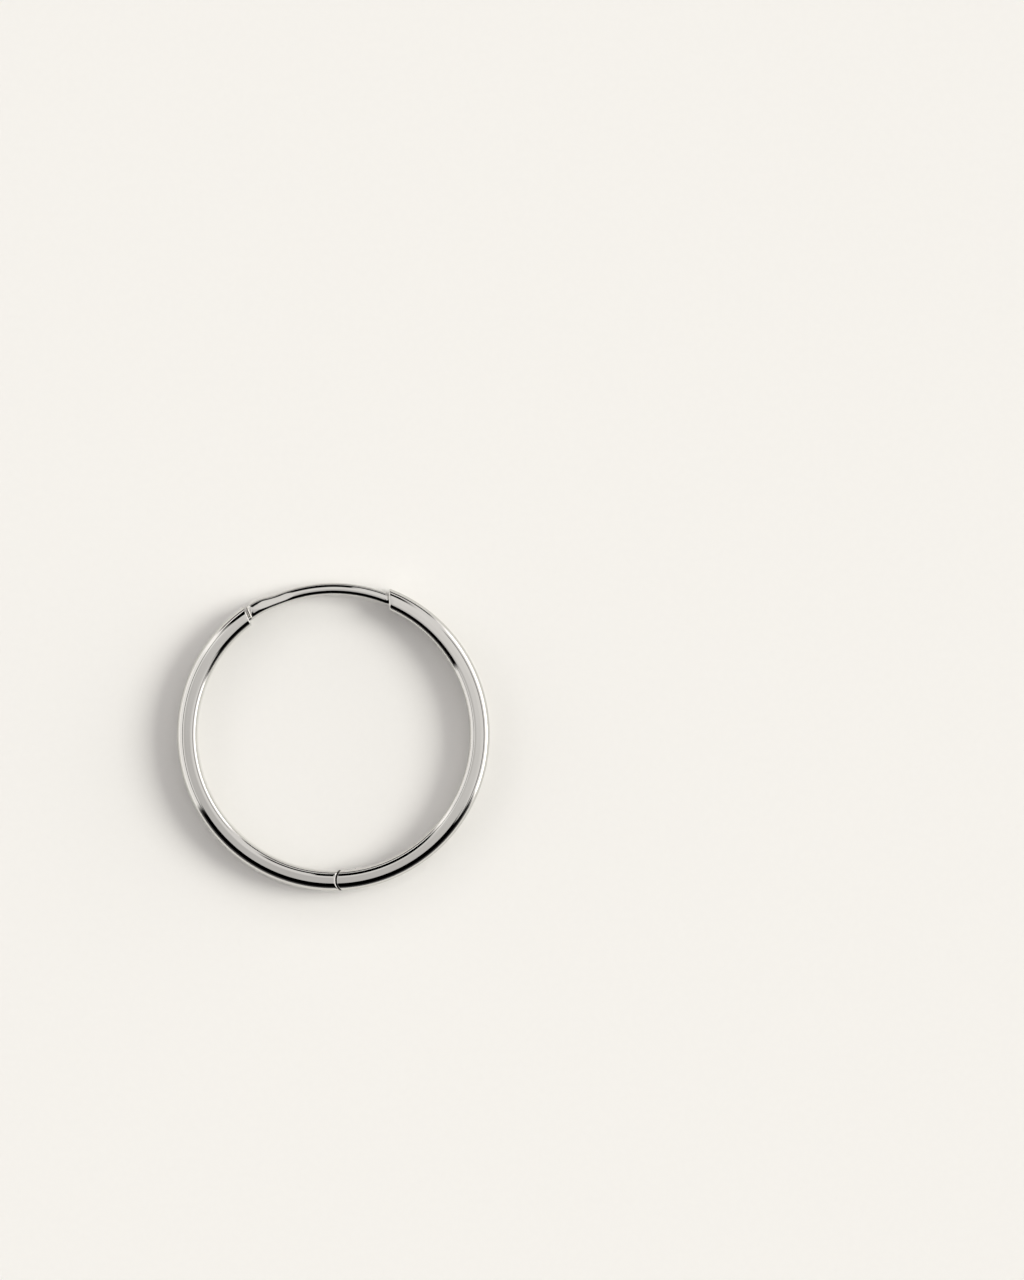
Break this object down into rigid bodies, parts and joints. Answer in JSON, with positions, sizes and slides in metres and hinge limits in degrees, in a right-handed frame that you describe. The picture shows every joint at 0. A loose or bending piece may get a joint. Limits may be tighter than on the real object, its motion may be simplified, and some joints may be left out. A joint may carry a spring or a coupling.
{
  "type": "hinged click hoop earring",
  "caption": "Slim polished hoop earring of two hinged halves, with a round post that closes into a socket; lies on its side.",
  "frame": {"origin": "middle of the closed hoop's box, on the surface that the hoop lies on", "axes": "+Z is the hoop's own axis, up; +Y points to the post, which closes the top, away from the hinge; +X points to the front half, whose end holds the socket"},
  "size_m": [0.02, 0.0196, 0.002],
  "materials": {
    "polished_silver": "mirror polished, rhodium plated",
    "pin_steel": "satin"
  },
  "bodies": {
    "front": {"front_half": "polished_silver", "hinge_pin": "pin_steel"},
    "back": {"back_half": "polished_silver"}
  },
  "joints": [
    {"name": "hinge", "type": "hinge", "parent": "front", "child": "back", "pos_m": [0.00114, -0.00914, 0.001], "axis": [0, 0, 1], "range_deg": [0, 30]}
  ]
}
